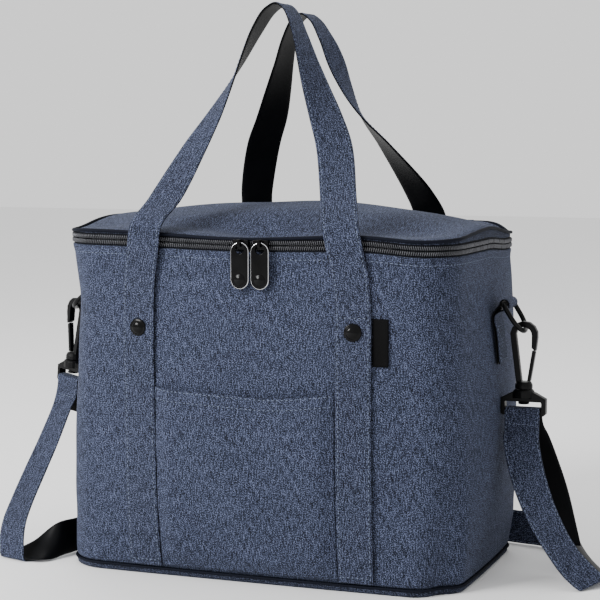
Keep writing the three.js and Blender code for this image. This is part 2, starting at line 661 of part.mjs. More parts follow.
// Three-bar slide, standing on its edge against the outer face of the strap behind the bag.
function makeAdjuster() {
  const slots = [-5.75, 5.75].map((x) => new THREE.BoxGeometry(7.5, 9, 34).translate(x, 0, 0));
  const geometry = cut(new THREE.BoxGeometry(26, 3, 42), ...slots);
  const mesh = add('strap_adjuster', geometry, plastic);
  mesh.rotation.z = radians(6);
  mesh.position.set(-115, 140.8, 21.6);
}

makeBody();
makePocket();
makeSewnStraps();
makeLabel();
makeZip();
makeLid();
SLIDER_X.forEach((x, k) => makeSlider(['left', 'right'][k], x));
makeHandles();
for (const [name, side] of [['left', -1], ['right', 1]]) {
  makeTab(name, side);
  makeRing(name, side);
  makeHook(name, side);
}
makeShoulderStrap();
makeAdjuster();

export default bag;
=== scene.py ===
# Insulated cooler bag: the looks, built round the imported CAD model. Lengths in the code are
# millimetres in the bag's own frame (+Z up, front towards -Y), and become metres in each mesh.
import math
import bpy
import numpy as np
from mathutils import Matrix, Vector


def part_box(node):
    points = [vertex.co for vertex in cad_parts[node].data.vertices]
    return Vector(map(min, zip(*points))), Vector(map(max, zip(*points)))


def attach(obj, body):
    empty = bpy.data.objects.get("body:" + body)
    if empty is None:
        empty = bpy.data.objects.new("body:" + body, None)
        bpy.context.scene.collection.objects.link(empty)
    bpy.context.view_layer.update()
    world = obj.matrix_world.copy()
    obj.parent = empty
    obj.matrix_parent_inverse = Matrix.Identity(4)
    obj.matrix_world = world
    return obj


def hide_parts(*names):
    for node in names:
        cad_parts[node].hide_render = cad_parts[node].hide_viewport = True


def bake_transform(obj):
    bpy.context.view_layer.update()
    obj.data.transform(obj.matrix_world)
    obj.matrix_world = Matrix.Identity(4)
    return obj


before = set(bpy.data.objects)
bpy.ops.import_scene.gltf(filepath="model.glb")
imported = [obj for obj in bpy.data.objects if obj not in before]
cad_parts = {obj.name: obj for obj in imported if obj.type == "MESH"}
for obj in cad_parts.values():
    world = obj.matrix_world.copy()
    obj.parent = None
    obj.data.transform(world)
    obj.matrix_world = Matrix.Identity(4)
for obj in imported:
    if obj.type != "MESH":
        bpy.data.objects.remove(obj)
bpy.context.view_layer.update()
MM = 0.001
rng = np.random.default_rng(7)

# ------------------------------------------------------------------ camera
azimuth, elevation = math.radians(20.4), math.radians(5.66)
back = Vector((math.sin(azimuth) * math.cos(elevation), -math.cos(azimuth) * math.cos(elevation),
               math.sin(elevation)))
camera = bpy.data.objects.new("camera", bpy.data.cameras.new("camera"))
camera.data.lens = 108.62
camera.data.sensor_width = 36
camera.location = (0.5895, -1.5736, 0.4080)
camera.rotation_euler = (-back).to_track_quat("-Z", "Y").to_euler()
bpy.context.scene.collection.objects.link(camera)
bpy.context.scene.camera = camera


# ------------------------------------------------------------------ materials
class Nodes:
    """A material's node tree with short names for what the fabrics need."""

    def __init__(self, name):
        self.mat = bpy.data.materials.new(name)
        self.mat.use_nodes = True
        self.tree = self.mat.node_tree
        self.bsdf = self.tree.nodes["Principled BSDF"]

    def add(self, kind, **values):
        node = self.tree.nodes.new(kind)
        for key, value in values.items():
            setattr(node, key, value)
        return node

    def link(self, a, b):
        self.tree.links.new(a, b)

    def noise(self, coords, scale, detail=2.0, turn=0.0):
        """Perlin noise with so many cells per metre each way, turned in the cloth's plane."""
        mapping = self.add("ShaderNodeMapping")
        mapping.inputs["Scale"].default_value = scale
        mapping.inputs["Rotation"].default_value = (0, 0, turn)
        texture = self.add("ShaderNodeTexNoise")
        texture.inputs["Scale"].default_value = 1
        texture.inputs["Detail"].default_value = detail
        texture.inputs["Roughness"].default_value = 0.55
        self.link(coords, mapping.inputs["Vector"])
        self.link(mapping.outputs["Vector"], texture.inputs["Vector"])
        return texture.outputs["Fac"]

    def math(self, op, a, b):
        node = self.add("ShaderNodeMath", operation=op)
        for socket, value in zip(node.inputs, (a, b)):
            if isinstance(value, (int, float)):
                socket.default_value = value
            else:
                self.link(value, socket)
        return node.outputs[0]

    def total(self, *pairs):
        """Weighted sum of (value, weight) pairs."""
        out = 0.0
        for value, weight in pairs:
            out = self.math("ADD", self.math("MULTIPLY", value, weight), out)
        return out

    def ramp(self, fac, stops):
        node = self.add("ShaderNodeValToRGB")
        elements = node.color_ramp.elements
        while len(elements) < len(stops):
            elements.new(0.5)
        for element, (position, colour) in zip(elements, stops):
            element.position = position
            element.color = (*colour, 1)
        self.link(fac, node.inputs[0])
        return node.outputs[0]

    def bump(self, height, strength, distance):
        node = self.add("ShaderNodeBump")
        node.inputs["Strength"].default_value = strength
        node.inputs["Distance"].default_value = distance
        self.link(height, node.inputs["Height"])
        self.link(node.outputs[0], self.bsdf.inputs["Normal"])

    def set(self, **values):
        """Sets the shader's own sockets and returns the finished material."""
        for key, value in values.items():
            self.bsdf.inputs[key.replace("_", " ")].default_value = value
        return self.mat


def scaled(colour, k):
    return tuple(c * k for c in colour)


def heather(name, colour):
    """Two-tone woven cloth: knots of dark and pale yarn, with faint streaks both ways."""
    n = Nodes(name)
    uv = n.add("ShaderNodeTexCoord").outputs["UV"]
    knots = n.noise(uv, (1180, 1060, 1), 0, turn=0.55)
    warp = n.noise(uv, (1550, 120, 1), 1, turn=0.13)
    weft = n.noise(uv, (140, 1550, 1), 1, turn=-0.11)
    grain = n.noise(uv, (3100, 2700, 1), 0, turn=0.3)
    patches = n.noise(uv, (16, 12, 1), 2)
    value = n.total((knots, 0.46), (warp, 0.34), (weft, 0.08), (grain, 0.09), (patches, 0.03))
    stops = [(0.395, scaled(colour, 0.08)), (0.47, scaled(colour, 0.44)),
             (0.53, scaled(colour, 1.38)), (0.61, tuple(c * 3.6 + 0.02 for c in colour))]
    n.link(n.ramp(value, stops), n.bsdf.inputs["Base Color"])
    n.bump(n.total((knots, 0.6), (warp, 0.3), (grain, 0.5)), 0.5, 0.0003)
    return n.set(Roughness=0.9, Sheen_Weight=0.04, Sheen_Roughness=0.5,
                 Sheen_Tint=(0.6, 0.7, 0.9, 1), Specular_IOR_Level=0.12)


def cloth(name, colour, rough, ribs, depth, vary=0.35):
    """Plain weave in one colour, with ribs per metre across and along."""
    n = Nodes(name)
    uv = n.add("ShaderNodeTexCoord").outputs["UV"]
    fine = n.noise(uv, (ribs[0], ribs[1], 1), 1)
    broad = n.noise(uv, (60, 25, 1), 2)
    value = n.total((fine, 0.5), (broad, 0.5))
    stops = [(0.3, scaled(colour, 1 - vary)), (0.7, scaled(colour, 1 + vary))]
    n.link(n.ramp(value, stops), n.bsdf.inputs["Base Color"])
    n.bump(fine, 0.5, depth)
    return n.set(Roughness=rough, Specular_IOR_Level=0.07)


def solid(name, colour, rough, metallic=0.0, grain=900, depth=0.00006, vary=0.12):
    """Moulded plastic, enamel or metal: fine grain and slightly uneven gloss."""
    n = Nodes(name)
    place = n.add("ShaderNodeTexCoord").outputs["Object"]
    fine = n.noise(place, (grain, grain, grain), 2)
    broad = n.noise(place, (70, 70, 70), 2)
    n.link(n.ramp(broad, [(0.35, scaled(colour, 1 - vary)), (0.65, scaled(colour, 1 + vary))]),
           n.bsdf.inputs["Base Color"])
    n.link(n.ramp(broad, [(0.3, (rough * 0.8,) * 3), (0.7, (rough * 1.2,) * 3)]),
           n.bsdf.inputs["Roughness"])
    n.bump(fine, 0.3, depth)
    return n.set(Metallic=metallic, Specular_IOR_Level=0.11)


DENIM = (0.0222, 0.0270, 0.0478)
denim = heather("denim_heather", DENIM)
denim_webbing = heather("denim_webbing", (0.0208, 0.0252, 0.0442))
# painted shade: the body's denim at 0.6 of its colour, for cloth that sits in shade: the lid's gusset
# under the cord and the base near the floor
denim_painted_shade = heather("denim_shaded", scaled(DENIM, 0.6))
satin = cloth("black_satin", (0.0022, 0.0024, 0.003), 0.45, (1500, 500), 0.0002)
binding = cloth("navy_binding", (0.0035, 0.0045, 0.009), 0.7, (700, 2200), 0.0004)
thread = cloth("topstitch_thread", (0.15, 0.18, 0.25), 0.7, (3000, 3000), 0.0001)
tape = cloth("zip_tape", (0.0035, 0.004, 0.006), 0.8, (2400, 900), 0.0003)
# partly painted highlight: the coil is black nylon, but it is given a mid-grey colour that stands in
# for its grey glints; its low roughness and metallic gloss give real reflections
coil = solid("zip_coil", (0.085, 0.086, 0.094), 0.28, 0.5)
plastic = solid("black_plastic", (0.0022, 0.0023, 0.0026), 0.36, 0.0, 1400, 0.00008, 0.3)
gloss = solid("black_gloss", (0.0014, 0.0014, 0.0016), 0.14, 0.0, 1400, 0.00003, 0.3)
chrome = solid("bright_rim", (0.62, 0.62, 0.64), 0.18, 1.0, 700, 0.00003, 0.08)
label = cloth("label_satin", (0.0016, 0.0016, 0.0019), 0.75, (1800, 1800), 0.0002)
foil = cloth("liner_silver", (0.55, 0.56, 0.58), 0.34, (120, 120), 0.0012, 0.06)


# ------------------------------------------------------------------ mesh helpers
def unit(v):
    return v / np.maximum(np.linalg.norm(v, axis=-1, keepdims=True), 1e-9)


def distances(P):
    """Distance of each place from the first, along the run."""
    return np.concatenate([[0], np.linalg.norm(np.diff(P, axis=0), axis=1).cumsum()])


def sample(s, run, values):
    """Values that are known at the distances in run, read at the distances s."""
    return np.stack([np.interp(s, run, values[:, k]) for k in range(3)], 1)


def make(name, points, faces, uvs, material, body=None, slots=None, extra=(), smooth=True):
    """Mesh object from points in millimetres; uvs holds one pair for each face corner."""
    data = bpy.data.meshes.new(name)
    data.from_pydata((np.asarray(points, float) * MM).tolist(), [], [list(f) for f in faces])
    for item in [material, *extra]:
        data.materials.append(item)
    if uvs is not None:
        layer = data.uv_layers.new(name="UVMap")
        layer.data.foreach_set("uv", np.asarray(uvs, np.float32).ravel())
    if slots is not None:
        data.polygons.foreach_set("material_index", np.asarray(slots, np.int32))
    data.polygons.foreach_set("use_smooth", [smooth] * len(data.polygons))
    data.update()
    obj = bpy.data.objects.new(name, data)
    bpy.context.scene.collection.objects.link(obj)
    if body:
        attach(obj, body)
    return obj


def grid_faces(rows, cols, wrap=False):
    """Quads of a rows x cols grid and the uv index of each corner (cols + 1 wide if it wraps)."""
    i, j = np.meshgrid(np.arange(rows - 1), np.arange(cols if wrap else cols - 1), indexing="ij")
    i, j = i.ravel(), j.ravel()
    k = (j + 1) % cols
    faces = np.stack([i * cols + j, i * cols + k, (i + 1) * cols + k, (i + 1) * cols + j], 1)
    w = cols + 1 if wrap else cols
    corner = np.stack([i * w + j, i * w + j + 1, (i + 1) * w + j + 1, (i + 1) * w + j], 1)
    return faces, corner


def grid(name, P, material, body=None, wrap=False, uv=None, thick=0.0, flip=False):
    """Surface over a grid of places (rows, cols, 3), with uvs in metres along each way."""
    P = np.asarray(P, float)
    rows, cols = P.shape[:2]
    if uv is None:
        Q = np.concatenate([P, P[:, :1]], 1) if wrap else P
        u = np.concatenate([np.zeros((rows, 1)),
                            np.linalg.norm(np.diff(Q, axis=1), axis=2).cumsum(1)], 1)
        v = np.concatenate([np.zeros((1, Q.shape[1])),
                            np.linalg.norm(np.diff(Q, axis=0), axis=2).cumsum(0)], 0)
        uv = np.stack([u, v], 2) * MM
    faces, corner = grid_faces(rows, cols, wrap)
    if flip:
        faces, corner = faces[:, ::-1], corner[:, ::-1]
    uvs = np.asarray(uv, float).reshape(-1, 2)[corner.ravel()]
    obj = make(name, P.reshape(-1, 3), faces, uvs, material, body)
    if thick:
        mod = obj.modifiers.new("thickness", "SOLIDIFY")
        mod.thickness = thick * MM
        mod.offset = -1
    return obj


def spline(points, steps):
    """Centripetal Catmull-Rom curve through the points, steps places to each span."""
    p = np.asarray(points, float)
    p = np.vstack([2 * p[0] - p[1], p, 2 * p[-1] - p[-2]])
    out = []
    for a, b, c, d in zip(p, p[1:], p[2:], p[3:]):
        t1, t2, t3 = (max(np.linalg.norm(y - x), 1e-9) ** 0.5 for x, y in ((a, b), (b, c), (c, d)))
        if t2 < 1e-4:
            t1 = t2 = t3 = 1.0
        t1, t3 = (t2 if t < 1e-4 else t for t in (t1, t3))
        m1 = ((b - a) / t1 - (c - a) / (t1 + t2) + (c - b) / t2) * t2
        m2 = ((c - b) / t2 - (d - b) / (t2 + t3) + (d - c) / t3) * t2
        s = (np.arange(steps) / steps)[:, None]
        out.append((2 * s**3 - 3 * s**2 + 1) * b + (s**3 - 2 * s**2 + s) * m1
                   + (3 * s**2 - 2 * s**3) * c + (s**3 - s**2) * m2)
    return np.vstack([*out, p[-2:-1]])


class Path:
    """Webbing laid along a path: place, direction along, across and out of its face."""

    def __init__(self, at, across, steps, square=True):
        self.at = spline(at, steps)
        turn = spline(across, steps)
        self.along = unit(np.gradient(self.at, axis=0))
        if square:
            turn = turn - (turn * self.along).sum(1, keepdims=True) * self.along
        self.across = unit(turn)
        self.out = unit(np.cross(self.across, self.along))
        self.run = distances(self.at)


def webbing(name, path, width=32.0, thick=2.0):
    """Flat strap with rounded edges: heather on its outer face, satin on the other and the edges."""
    w, t = width / 2, thick / 2
    a = np.array([-0.99, -0.94, -0.8, -0.5, 0, 0.5, 0.8, 0.94, 0.99]) * w
    h = np.array([0.45, 0.9, 1, 0.96, 0.93, 0.96, 1, 0.9, 0.45]) * t
    a = np.concatenate([a, [w], a[::-1], [-w]])
    h = np.concatenate([h, [0], -h[::-1], [0]])
    P = (path.at[:, None] + a[None, :, None] * path.across[:, None]
         + h[None, :, None] * path.out[:, None])
    section = np.column_stack([a, h])
    around = distances(np.vstack([section, section[:1]]))
    uv = np.stack(np.meshgrid(around, path.run), 2) * MM
    rows, cols = P.shape[:2]
    faces, corner = grid_faces(rows, cols, True)
    slots = np.where(np.arange(len(faces)) % cols < 8, 0, 1)
    uvs = uv.reshape(-1, 2)[corner.ravel()]
    first = list(range(cols))[::-1]
    last = [(rows - 1) * cols + i for i in range(cols)]
    ends = np.zeros((2 * cols, 2))
    return make(name, P.reshape(-1, 3), [*faces.tolist(), first, last], np.vstack([uvs, ends]),
                denim_webbing, slots=np.append(slots, [1, 1]), extra=[satin])


def stitches(name, runs, length=2.9, gap=1.3, width=0.75, height=0.4):
    """Rows of thread stitches. Each run is (places, normals)."""
    points, faces = [], []
    for P, N in runs:
        P, N = np.asarray(P, float), np.asarray(N, float)
        run = distances(P)
        starts = np.arange(gap, run[-1] - length, length + gap)
        normals = unit(sample(starts + length / 2, run, N))
        for p, q, n in zip(sample(starts, run, P), sample(starts + length, run, P), normals):
            side = unit(np.cross(q - p, n)) * width / 2
            m = (p + q) / 2
            k = len(points)
            low = n * height * 0.1
            points += [p + low, m - side + n * height * 0.5, q + low, m + side + n * height * 0.5,
                       m + n * height, m - n * height * 0.5]
            faces += [(k + i, k + (i + 1) % 4, k + 4) for i in range(4)]
            faces += [(k + (i + 1) % 4, k + i, k + 5) for i in range(4)]
    uvs = np.tile([[0, 0], [0.001, 0], [0, 0.001]], (len(faces), 1))
    return make(name, points, faces, uvs, thread)


def strap_rows(path, offset, thick):
    """Two rows of stitches near a strap's edges, on its outer face."""
    return [(path.at + edge * path.across + (thick / 2) * path.out, path.out)
            for edge in (-offset, offset)]


def tube(name, P, radius, material, body, sides=12, up=(0, 0, 1)):
    """Round cord on the closed line through the places P, which doesn't run along up."""
    P = np.asarray(P, float)
    along = unit(np.roll(P, -1, 0) - np.roll(P, 1, 0))
    a = unit(np.cross(along, np.asarray(up, float)))
    b = np.cross(a, along)
    angle = np.arange(sides) * 2 * math.pi / sides
    c, s = np.cos(angle)[None, :, None], np.sin(angle)[None, :, None]
    Q = P[:, None] + radius * (c * a[:, None] + s * b[:, None])
    return grid(name, np.concatenate([Q, Q[:1]], 0), material, body, wrap=True)


def lathe(name, profile, centre, normal, material, body, sides=36):
    """Round piece about the normal through centre, from (radius, height) pairs."""
    profile = np.asarray(profile, float)
    z = unit(np.asarray(normal, float))
    x = unit(np.cross(z, [0.3, 0.2, 0.9]))
    y = np.cross(z, x)
    angle = np.arange(sides) * 2 * math.pi / sides
    ring = np.cos(angle)[:, None] * x + np.sin(angle)[:, None] * y
    P = np.asarray(centre, float) + profile[:, 0, None, None] * ring + profile[:, 1, None, None] * z
    return grid(name, P, material, body, wrap=True)


def refine(name, node, material, body, voxel, smooth, ratio):
    """Rounded, moulded copy of a CAD node."""
    obj = bpy.data.objects.new(name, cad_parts[node].data.copy())
    bpy.context.scene.collection.objects.link(obj)
    mod = obj.modifiers.new("remesh", "REMESH")
    mod.mode = "VOXEL"
    mod.voxel_size = voxel * MM
    mod = obj.modifiers.new("round", "SMOOTH")
    mod.factor, mod.iterations = 0.5, smooth
    mod = obj.modifiers.new("fewer", "DECIMATE")
    mod.ratio = ratio
    bpy.context.view_layer.update()
    made = bpy.data.meshes.new_from_object(
        obj.evaluated_get(bpy.context.evaluated_depsgraph_get()))
    obj.modifiers.clear()
    obj.data = made
    made.materials.clear()
    made.materials.append(material)
    made.polygons.foreach_set("use_smooth", [True] * len(made.polygons))
    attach(obj, body)
    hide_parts(node)
    return obj


# ------------------------------------------------------------------ the body's outline
BODY_TOP = 300
KEYS = np.array([0, 40, 90, 150, 205, 250, BODY_TOP], float)
# at each of these heights: width, depth, corner radius, and the bulges of front, sides and back
PLAN = np.array([[372, 228, 38, 1, 1, 0], [379, 231, 40, 8, 4, 3], [383, 234, 42, 13, 7, 5],
                 [381, 237, 44, 14, 8, 6], [375, 241, 45, 13, 8, 5], [370, 244, 45, 10, 5, 2],
                 [366, 248, 45, 6, 2, 0.0]])
SLOPE = np.gradient(PLAN, KEYS, axis=0)


def plan(z):
    """Width, depth, corner radius and the bulges of front, sides and back at height z."""
    z = np.clip(np.asarray(z, float), 0, BODY_TOP)
    k = np.clip(np.searchsorted(KEYS, z, side="right") - 1, 0, len(KEYS) - 2)
    h = KEYS[k + 1] - KEYS[k]
    t = ((z - KEYS[k]) / h)[..., None]
    h = h[..., None]
    return ((2 * t**3 - 3 * t**2 + 1) * PLAN[k] + (t**3 - 2 * t**2 + t) * h * SLOPE[k]
            + (3 * t**2 - 2 * t**3) * PLAN[k + 1] + (t**3 - t**2) * h * SLOPE[k + 1])


# waves of the padding: direction and number, phase, and height in millimetres
WAVES = [(rng.normal(size=3) * k, rng.uniform(0, 6.28), a)
         for k, a in ((0.022, 0.9), (0.022, 0.9), (0.035, 0.6), (0.05, 0.35), (0.05, 0.35),
                      (0.09, 0.16))]


def sag(P):
    """Soft unevenness of the padded cloth, fading out at the base seam and the zip."""
    P = np.asarray(P, float)
    wave = sum(a * np.sin(P @ k + phase) for k, phase, a in WAVES)
    fade = np.clip((P[..., 2] - 8) / 30, 0, 1) * np.clip((294 - P[..., 2]) / 26, 0, 1)
    return wave * fade * 0.9


# places in the ring round the body: on each of its four sides, and on each corner
EDGES, CORNER = (72, 40, 72, 40), 20


def ease(t):
    """0 to 1, smoothly, as t goes from 0 to 1."""
    t = np.clip(t, 0, 1)
    return t * t * (3 - 2 * t)


def droop(x, y):
    """How far the soft top edge hangs below its level: in mid front and at the right end."""
    front = 2.0 * np.exp(-((x + 5) / 75) ** 2) * ease((-90 - y) / 20)
    return front + (4.2 + 4.5 * ease((y + 10) / 80)) * ease((x - 100) / 65) * ease((124 - y) / 22)


def corner_pull(angle, z):
    """The base's corners aren't alike: front left is sharp, and the two on the right are slack."""
    def near_to(degrees):
        return np.exp(-((np.degrees(angle) - degrees) / 27) ** 2)

    return (9 * near_to(-135) * float(1 - ease(z / 60)) - 9 * near_to(-45) * float(1 - ease(z / 150))
            - 6 * near_to(45) * float(1 - ease(z / 90)))


def outline(z, offset=0.0, soft=True):
    """Ring of places round the body at height z, anticlockwise from the front's left end.
    The soft top edge droops, and the left side is drawn in a little between base and zip."""
    W, D, R, *bulge = plan(z)
    half = (W / 2 - R, D / 2 - R)
    bulges = (bulge[0], bulge[1], bulge[2], bulge[1])
    core, angles = [], []
    for side in range(4):
        facing = (side - 1) * math.pi / 2
        normal = np.array([math.cos(facing), math.sin(facing)])
        along = np.array([-normal[1], normal[0]])
        length, reach, b = half[side % 2], half[(side + 1) % 2], bulges[side]
        u = -1 + 2 * np.arange(EDGES[side]) / EDGES[side]
        core.append(normal * (reach + b * (1 - u**2))[:, None] + along * (u * length)[:, None])
        angles.append(facing + np.arctan(2 * b * u / length))
        first = facing + math.atan(2 * b / length)
        last = facing + math.pi / 2 - math.atan(2 * bulges[(side + 1) % 4] / reach)
        core.append(np.repeat([normal * reach + along * length], CORNER, 0))
        angles.append(first + (last - first) * np.arange(CORNER) / CORNER)
    core, angles = np.vstack(core), np.concatenate(angles)
    way = np.stack([np.cos(angles), np.sin(angles)], 1)
    base = np.column_stack([core + R * way, np.full(len(core), float(z))])
    lift = offset + (sag(base) if soft else 0) + corner_pull(angles, float(z))
    base[:, :2] += way * np.reshape(lift, (-1, 1))
    drawn_in = 5.5 * float(ease(z / 60) * ease((296 - z) / 50))
    base[:, 0] += drawn_in * ease((-base[:, 0] - 120) / 60)
    base[:, 2] -= droop(base[:, 0], base[:, 1]) * float(ease((z - 235) / 60))
    return base


def wall(x, z, face, offset=0.0, soft=True):
    """Places on the front (face -1) or back (1) wall at each x and z, and the normals there."""
    x, z, offset = np.broadcast_arrays(np.asarray(x, float), z, offset)
    s = plan(z)
    R = s[..., 2]
    hx, hy = s[..., 0] / 2 - R, s[..., 1] / 2 - R
    b = s[..., 3] if face < 0 else s[..., 5]
    u = x / hx
    for _ in range(4):
        lean = np.arctan(2 * b * u / hx)
        u = (x - R * np.sin(lean)) / hx
    lean = np.arctan(2 * b * u / hx)
    N = np.stack([np.sin(lean), face * np.cos(lean), np.zeros_like(lean)], -1)
    core = np.stack([u * hx, face * (hy + b * (1 - u**2)), z], -1)
    base = core + N * R[..., None]
    lift = offset + (sag(base) if soft else 0)
    return base + N * lift[..., None], N


RING = len(outline(100))
BACK_FROM = EDGES[0] + EDGES[1] + 2 * CORNER
BACK_TO = BACK_FROM + EDGES[2]
ROUND = np.arange(BACK_TO, BACK_FROM + RING + 1) % RING  # everything but the back's straight run

# ------------------------------------------------------------------ body
heights = np.concatenate([[6.6, 7.8, 9.3], np.linspace(11.5, 290, 96), [293, 295.5, 297, 297.5]])
inset = np.interp(heights, [6.6, 7.8, 9.3, 11.5, 290, 295.5, 297, 297.5],
                  [-2.2, -0.9, -0.2, 0, 0, 1.2, 1.1, 0])
rings = [outline(z, o) for z, o in zip(heights, inset)]
shell = grid("body_shell", rings, denim, "bag", wrap=True, thick=1.2)
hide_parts("outer_shell", "foam_wall")

scales = [0.02, 0.2, 0.4, 0.6, 0.8, 0.93, 0.985, 0.993]
under = [outline(0, 0, False) * [s, s, 0] + [0, 0, 0.05] for s in scales]
flat_uv = [np.vstack([r[:, :2], r[:1, :2]]) * MM for r in under]
# painted shade: the sole and the band round the base take the denim darkened to 0.6, which stands in
# for the shade low on the bag
sole = grid("base_sole", under, denim_painted_shade, "bag", wrap=True, uv=flat_uv, flip=True)
band_rings = [outline(0, -1.3, False) + [0, 0, 0.05], outline(0, -0.4, False) + [0, 0, 0.6],
              outline(2, 0, False), outline(5.2, -0.2, False)]
base = grid("base_cloth", band_rings, denim_painted_shade, "bag", wrap=True)
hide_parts("base_panel", "base_board", "foam_base")
cord = tube("base_cord", outline(6.0, 0.3, False), 1.25, binding, "bag")
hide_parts("base_piping")

inner_z = np.concatenate([[298.9, 299.4, 299.4, 299.0], np.linspace(296, 16, 50), [13.2, 12.1]])
inner_o = np.concatenate([[-1.0, -2.2, -7.4, -8.8], np.full(50, -9.2), [-10.4, -14]])
rings = [outline(z, o) if 20 < z < 290 else outline(z, o, False) for z, o in zip(inner_z, inner_o)]
rings += [outline(11.9, -14, False) * [s, s, 1] for s in (0.9, 0.7, 0.5, 0.3, 0.1, 0.01)]
liner = grid("liner_tub", rings, foil, "bag", wrap=True, thick=0.8)
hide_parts("inner_liner")

# ------------------------------------------------------------------ front pocket and label
POCKET_HALF, POCKET_FOOT, POCKET_TOP = 83.5, 9.8, 174.5
HEM = 0.925  # where the folded hem starts, as a share of the pocket's height


def hem_line(x):
    """Height of the pocket's top edge, which hangs between the two straps."""
    return POCKET_TOP - 4.2 * (1 - (x / POCKET_HALF) ** 2) - 0.8 * np.sin(x / 17)


def pocket_stand(x, z):
    """How far the pocket stands off the wall: slack and puckered inside its sewn edges."""
    sides = np.clip((POCKET_HALF - np.abs(x)) / 15, 0, 1)
    slack = ease(sides * np.clip((z - POCKET_FOOT) / 14, 0, 1))
    return 1.3 + slack * (3.8 + 0.5 * np.sin(x / 11 + z / 37) + 0.35 * np.sin(z / 9 - x / 21))


pocket_x = np.concatenate([np.linspace(-POCKET_HALF, -67, 9), np.linspace(-64, 64, 44),
                           np.linspace(67, POCKET_HALF, 9)])
X, T = np.meshgrid(pocket_x, np.concatenate([np.linspace(0, 0.92, 56), np.linspace(HEM, 1, 10)]))
Z = POCKET_FOOT + (hem_line(X) - POCKET_FOOT) * T
P, _ = wall(X, Z, -1, pocket_stand(X, Z) + 0.9 * ease((T - HEM) / 0.015))
pocket = grid("pocket_panel", P, denim, "bag", thick=1.1)
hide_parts("front_pocket")
runs = []
for drop in (1.6, 10.5):
    z = hem_line(pocket_x) - drop
    runs.append(wall(pocket_x, z, -1, pocket_stand(pocket_x, z) + 1.0))

tag_x, tag_z = np.meshgrid(np.linspace(116.2, 130.3, 12), np.linspace(200, 241, 20))
lift = 0.8 + 0.9 * np.clip((tag_x - 118) / 10, 0, 1) ** 2 * (1 + 0.3 * np.sin(tag_z / 7))
P, _ = wall(tag_x, tag_z, -1, lift)
tag = grid("label_blank", P, label, "bag", thick=0.7)
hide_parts("label_tag")

# ------------------------------------------------------------------ topstitching on the body
STRAP_X = 100.0  # the middle of each sewn-down handle strap
seam = outline(290.5, 0.15)[ROUND]
seam_n = unit(outline(290.5, 5)[ROUND] - outline(290.5, 0)[ROUND])
runs.append((seam, seam_n))
for face in (-1, 1):
    for middle in (-STRAP_X, STRAP_X):
        for z in (241.5, 14.5):
            runs.append(wall(np.linspace(middle - 13.5, middle + 13.5, 14), z, face, 3.35))
body_stitch = stitches("body_topstitch", runs)
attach(body_stitch, "bag")


def handle(name, face, places, nodes, twist=0.0):
    """Sewn-down webbing and its free loop as one strap: up from the base, over and down again.
    twist turns the right leg about its length where it leaves the lid."""
    high = places[-1][2]
    z_low = np.array([9.2, 20, 40, 65, 90, 120, 150, 178, 205, 225, 240.0])
    P, N = wall(STRAP_X, z_low, face, 1.9)
    at = P.tolist()
    lean = [math.atan2(abs(n[0]), abs(n[1])) for n in N]
    for x, y, z in places:
        part = max(0, (z - 322) / (high - 322))
        first = lean[-1] if z < 322 else 0.04
        at.append([x, y, z])
        lean.append(max(min(first, 0.12), math.pi / 4 * (1 - math.cos(math.pi * part))))
    left = [[-x, y, z] for x, y, z in at]
    turn = [[-face * math.cos(a), -math.sin(a), 0] for a in lean]
    at = left + [[-x, y, z] for x, y, z in left[-2::-1]]
    turn = turn + [[-a, b, 0] for a, b, _ in turn[-2::-1]]
    for k, (x, y, z) in enumerate(at):
        if x > 0 and z > 318 and twist:
            part = float(ease((z - 318) / 50) * ease((high - z) / 60))
            c, s = math.cos(twist * part), math.sin(twist * part)
            a, b, _ = turn[k]
            turn[k] = [a * c - b * s, a * s + b * c, 0]
    path = Path(at, turn, 7)
    strap = webbing(f"{name}_webbing", path)
    sewn = stitches(f"{name}_topstitch", strap_rows(path, 13.4, 2.0))
    for obj in (strap, sewn):
        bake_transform(obj)
    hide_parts(*nodes)
    return path


def near(face, z, offset, x):
    """Place that stands offset off the wall, where the free webbing still lies against it."""
    p, _ = wall(x, z, face, offset, False)
    return p.tolist()


handle("front_handle", -1, [
    near(-1, 256, 2.0, 99.5), near(-1, 274, 2.6, 98), near(-1, 296, 4.6, 94), near(-1, 317, 6, 90),
    [81, -112, 340], [66, -80, 385], [54, -68, 411], [42, -60, 437], [31, -53, 463], [20, -46, 489],
    [10, -40, 506], [0, -37, 512]],
    ("front_handle", "front_strap_left", "front_strap_right"))
handle("rear_handle", 1, [
    near(1, 256, 2.2, 99.5), near(1, 274, 3, 98), near(1, 296, 4.8, 95), near(1, 317, 6, 91),
    [84, 114, 340], [62, 77, 385], [46, 58, 411], [35, 46, 437], [26, 38, 463], [18, 31, 485],
    [9, 28, 501], [0, 27, 506.5]],
    ("rear_handle", "rear_strap_left", "rear_strap_right"), -0.5)

# profile of a domed snap rivet, as radius and height off the webbing
CAP = [(0.01, 3.9), (2.2, 3.8), (4.0, 3.4), (5.2, 2.7), (5.8, 1.9), (6.1, 1.7), (6.9, 1.8), (7.6, 1.4),
       (7.9, 0.7), (7.8, 0.1), (6.6, -0.3), (0.01, -0.4)]
for face, word in ((-1, "front"), (1, "rear")):
    for side, hand in ((-1, "left"), (1, "right")):
        p, n = wall(side * STRAP_X, 227.5 + 1.6 * side, face, 2.9)
        cap = lathe(f"rivet_cap_{word}_{hand}", CAP, p, n, gloss, "bag", 48)
        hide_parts(f"rivet_{word}_{hand}")


# ------------------------------------------------------------------ zip
def band(name, zs, offsets, body, node):
    """Half of the zip's tape, round all but the straight run of the back."""
    obj = grid(name, [outline(z, o)[ROUND] for z, o in zip(zs, offsets)], tape, body)
    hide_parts(node)


